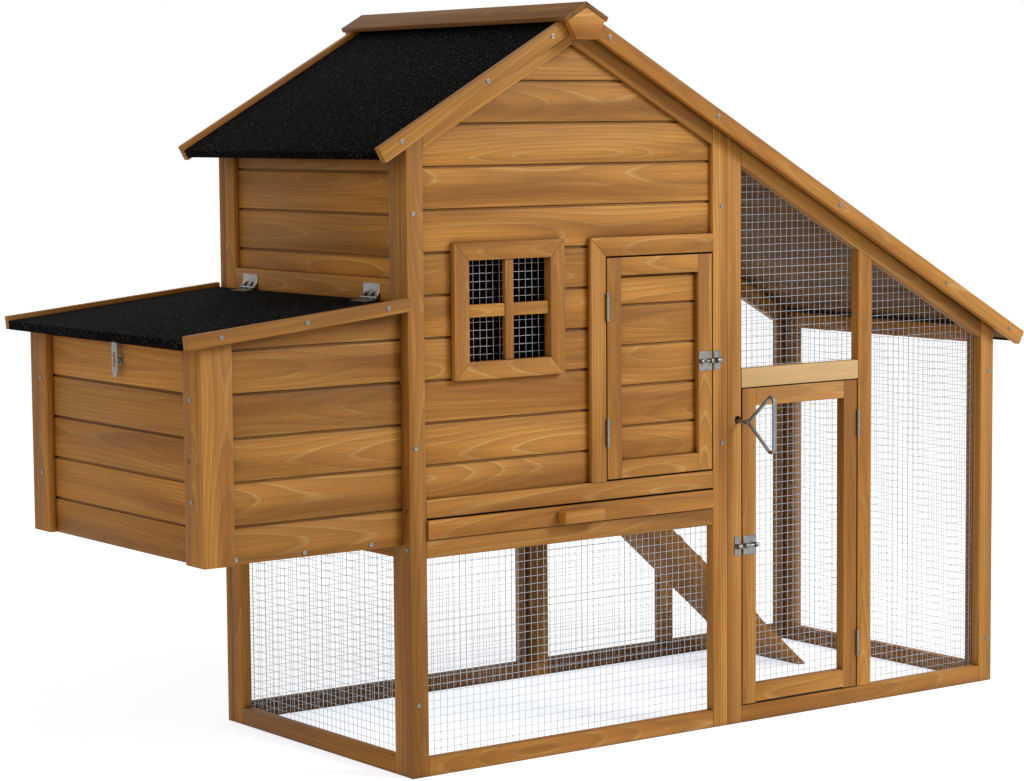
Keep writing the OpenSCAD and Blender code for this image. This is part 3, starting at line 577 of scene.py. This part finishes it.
def studio_floor():
    """A matt white floor that glows a little to the eye, so that its far parts stay white."""
    bpy.ops.mesh.primitive_plane_add(size=60, location=(0, 0, -0.6 * MM))
    floor = bpy.context.view_layer.objects.active
    floor.name = "studio_floor"
    made, tree, out = material("painted_studio_floor")
    speck = add(tree, "TexNoise", {"Vector": add(tree, "TexCoord").outputs["Object"],
                                   "Scale": 3.0, "Detail": 4.0}).outputs["Fac"]
    matt = add(tree, "BsdfPrincipled",
               {"Base Color": span(tree, speck, 0.0, 1.0, 0.94, 0.98), "Roughness": 0.9})
    # Slightly cool, against the warm light that falls on it
    glow = add(tree, "Emission", {"Color": (0.90, 0.97, 1.08, 1),
                                  "Strength": times(tree, seen_directly(tree), 0.74)})
    both = add(tree, "AddShader", {0: matt.outputs[0], 1: glow.outputs[0]})
    tree.links.new(both.outputs[0], out.inputs["Surface"])
    floor.data.materials.append(made)


def studio_world():
    """A backdrop that is white to the eye and gives a dim warm light."""
    world = bpy.data.worlds.new("studio")
    world.use_nodes = True
    tree = world.node_tree
    tree.nodes.clear()
    seen = seen_directly(tree)
    sky = add(tree, "Background",
              {"Color": mixed(tree, seen, (1.0, 0.84, 0.58, 1), (1, 1, 1, 1)),
               "Strength": span(tree, seen, 0.0, 1.0, 0.30, 1.0)})
    out = tree.nodes.new("ShaderNodeOutputWorld")
    tree.links.new(sky.outputs[0], out.inputs["Surface"])
    bpy.context.scene.world = world


def studio_lamp(name, place, size, power, tint):
    """A square lamp aimed at the middle of the coop."""
    lamp = bpy.data.lights.new(name, "AREA")
    lamp.energy, lamp.size, lamp.color = power, size, tint
    holder = bpy.data.objects.new(name, lamp)
    holder.location = place
    aim = Vector((0, 0, 0.5)) - Vector(place)
    holder.rotation_euler = aim.to_track_quat("-Z", "Y").to_euler()
    bpy.context.scene.collection.objects.link(holder)


def studio_camera():
    """The camera, placed from the outer front corner of the front left post."""
    lens = bpy.data.cameras.new("camera")
    lens.lens, lens.sensor_width = 100.42, 36
    lens.clip_end = 100
    camera = bpy.data.objects.new("camera", lens)
    camera.location = CORNER + Vector((-2.4427, -3.6056, 1.0229))
    camera.rotation_euler = (math.radians(84.514), math.radians(0.470), math.radians(-36.243))
    bpy.context.scene.collection.objects.link(camera)
    bpy.context.scene.camera = camera


class CoopLooks(bpy.types.PropertyGroup):
    """Colours and small sizes of the coop's finish."""

    stain_colour: bpy.props.FloatVectorProperty(
        name="Stain", description="Honey stain on the early wood", subtype="COLOR", size=4,
        default=shade("#c2893f"), min=0, max=1)
    stain_deep: bpy.props.FloatVectorProperty(
        name="Deep stain", description="Where the wood soaked up more stain",
        subtype="COLOR", size=4, default=shade("#996526"), min=0, max=1)
    late_wood: bpy.props.FloatVectorProperty(
        name="Late wood", description="Pale lines of the growth rings", subtype="COLOR",
        size=4, default=shade("#dfb46d"), min=0, max=1)
    felt_colour: bpy.props.FloatVectorProperty(
        name="Felt", description="Slate grit of the roofing felt", subtype="COLOR", size=3,
        default=shade("#030304")[:3], min=0, max=1)
    zinc_colour: bpy.props.FloatVectorProperty(
        name="Zinc", description="Plating of the hinges and bolts", subtype="COLOR", size=4,
        default=shade("#8f8e8b"), min=0, max=1)
    frame_edge: bpy.props.FloatProperty(
        name="Frame edge", description="Radius of the eased frame edges",
        default=1.2 * MM, unit="LENGTH", min=0.2 * MM)
    board_edge: bpy.props.FloatProperty(
        name="Board edge", description="Radius of the eased board edges",
        default=0.8 * MM, unit="LENGTH", min=0.2 * MM)
    metal_edge: bpy.props.FloatProperty(
        name="Metal edge", description="Radius of the edges of plates and knuckles",
        default=0.2 * MM, unit="LENGTH", min=0.05 * MM)
    mesh_pitch: bpy.props.FloatProperty(
        name="Mesh pitch", description="Spacing of the welded wires", default=12.7 * MM,
        unit="LENGTH", min=6 * MM)
    wire_diameter: bpy.props.FloatProperty(
        name="Wire", description="Diameter of the welded wires", default=0.75 * MM,
        unit="LENGTH", min=0.5 * MM)
    loop_reach: bpy.props.FloatProperty(
        name="Loop reach", description="Length of the wire handle from its apex",
        default=64 * MM, unit="LENGTH", min=20 * MM)
    loop_half: bpy.props.FloatProperty(
        name="Loop half width", description="Half the outer width of the wire handle",
        default=54 * MM, unit="LENGTH", min=20 * MM)
    loop_bend: bpy.props.FloatProperty(
        name="Loop bend", description="Bend radius at the handle's corners",
        default=7 * MM, unit="LENGTH", min=3 * MM)


class COOP_OT_frame_timber(bpy.types.Operator):
    """Posts, rails and rafters with eased edges and grain along their length"""

    bl_idname = "coop.frame_timber"
    bl_label = "Frame timber"

    def execute(self, context):
        carry_timber(FRAME_TIMBER, context.scene.coop_looks.frame_edge)
        return {"FINISHED"}


class COOP_OT_cladding(bpy.types.Operator):
    """Wall boards, window surround and door surround"""

    bl_idname = "coop.cladding"
    bl_label = "Cladding"

    def execute(self, context):
        carry_timber(CLADDING, context.scene.coop_looks.board_edge)
        return {"FINISHED"}


class COOP_OT_nest_box(bpy.types.Operator):
    """Nest box walls, corner trims, floor, divider and lid boards"""

    bl_idname = "coop.nest_box"
    bl_label = "Nest box"

    def execute(self, context):
        carry_timber(NEST_BOX, context.scene.coop_looks.board_edge)
        return {"FINISHED"}


class COOP_OT_roof_timber(bpy.types.Operator):
    """Roof boards, verge boards, ridge cap and its end blocks"""

    bl_idname = "coop.roof_timber"
    bl_label = "Roof timber"

    def execute(self, context):
        carry_timber(ROOF_TIMBER, context.scene.coop_looks.board_edge)
        return {"FINISHED"}


class COOP_OT_doors(bpy.types.Operator):
    """Framed doors, sliding pop-hole door and ramp"""

    bl_idname = "coop.doors"
    bl_label = "Doors and ramp"

    def execute(self, context):
        carry_timber(DOORS, context.scene.coop_looks.board_edge)
        return {"FINISHED"}


class COOP_OT_inside(bpy.types.Operator):
    """Perch, guides, runners and the droppings tray"""

    bl_idname = "coop.inside"
    bl_label = "Inside fittings and tray"

    def execute(self, context):
        carry_timber(INSIDE, context.scene.coop_looks.board_edge)
        carry("tray_pan", context.scene.coop_looks.metal_edge)
        return {"FINISHED"}


class COOP_OT_felt(bpy.types.Operator):
    """Mineral felt of the roof and the lid, folded down over the low edges"""

    bl_idname = "coop.felt"
    bl_label = "Roofing felt"

    def execute(self, context):
        for node in FELT:
            carry(node, FELT_EDGE)
        return {"FINISHED"}


class COOP_OT_wire_mesh(bpy.types.Operator):
    """Welded wire mesh over the run, the openings and the window"""

    bl_idname = "coop.wire_mesh"
    bl_label = "Welded mesh"

    def execute(self, context):
        for node, facing in WIRE_PANELS.items():
            wire_panel(node, facing)
        return {"FINISHED"}


class COOP_OT_metalwork(bpy.types.Operator):
    """Hinges, barrel bolts, hasp and frame screws in zinc plated steel"""

    bl_idname = "coop.metalwork"
    bl_label = "Metalwork"

    def execute(self, context):
        for node in METAL:
            carry(node, 0 if node in SHARP else context.scene.coop_looks.metal_edge)
        return {"FINISHED"}


class COOP_OT_pull_handle(bpy.types.Operator):
    """Steel rod of the sliding door with its bent wire handle"""

    bl_idname = "coop.pull_handle"
    bl_label = "Pull handle"

    def execute(self, context):
        looks = context.scene.coop_looks
        lo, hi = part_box("pull_rod")
        centre = (lo + hi) / 2
        apex = Vector((centre.x, lo.y + ROD_RADIUS + looks.loop_reach, centre.z))
        loop = looped_wire(apex, looks.loop_reach, looks.loop_half, ROD_RADIUS, looks.loop_bend)
        # The rod starts inside the loop's apex, and a weld collar hides the joint
        rod = round_bar(apex + Vector((0, -2 * MM, 0)), Vector((centre.x, hi.y, centre.z)),
                        ROD_RADIUS, 0.8 * MM)
        collar = round_bar(apex + Vector((0, -3 * MM, 0)), apex + Vector((0, 9 * MM, 0)),
                           ROD_RADIUS * 1.35, 1.4 * MM)
        whole = joined([loop, rod, collar], "fine_pull_rod")
        bpy.ops.object.shade_smooth_by_angle(angle=math.radians(40))
        dress(whole, "pull_rod")
        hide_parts("pull_rod")
        return {"FINISHED"}


class COOP_OT_stage(bpy.types.Operator):
    """Pale floor, soft studio light and the camera"""

    bl_idname = "coop.stage"
    bl_label = "Stage"

    def execute(self, context):
        studio_floor()
        studio_world()
        studio_lamp("key_light", (2.9, -4.3, 3.6), 2.2, 172, (1.0, 1.0, 1.0))
        studio_lamp("fill_light", (-4.2, -2.0, 2.4), 3.0, 30, (1.0, 0.78, 0.40))
        studio_camera()
        context.scene.view_settings.view_transform = "Standard"
        return {"FINISHED"}


class COOP_PT_panel(bpy.types.Panel):
    """Lists the pieces of the coop"""

    bl_label = "Chicken coop"
    bl_idname = "COOP_PT_panel"
    bl_space_type = "VIEW_3D"
    bl_region_type = "UI"
    bl_category = "Coop"

    def draw(self, context):
        for key in CoopLooks.__annotations__:
            self.layout.prop(context.scene.coop_looks, key)
        for step in STEPS:
            self.layout.operator(step.bl_idname)


STEPS = (
    COOP_OT_frame_timber, COOP_OT_cladding, COOP_OT_nest_box, COOP_OT_roof_timber,
    COOP_OT_doors, COOP_OT_inside, COOP_OT_felt, COOP_OT_wire_mesh, COOP_OT_metalwork,
    COOP_OT_pull_handle, COOP_OT_stage,
)


def register():
    for cls in (CoopLooks, *STEPS, COOP_PT_panel):
        bpy.utils.register_class(cls)
    bpy.types.Scene.coop_looks = bpy.props.PointerProperty(type=CoopLooks)


def unregister():
    del bpy.types.Scene.coop_looks
    for cls in reversed((CoopLooks, *STEPS, COOP_PT_panel)):
        bpy.utils.unregister_class(cls)


def main():
    register()
    for step in STEPS:
        group, name = step.bl_idname.split(".")
        getattr(getattr(bpy.ops, group), name)()


if __name__ == "__main__":
    main()
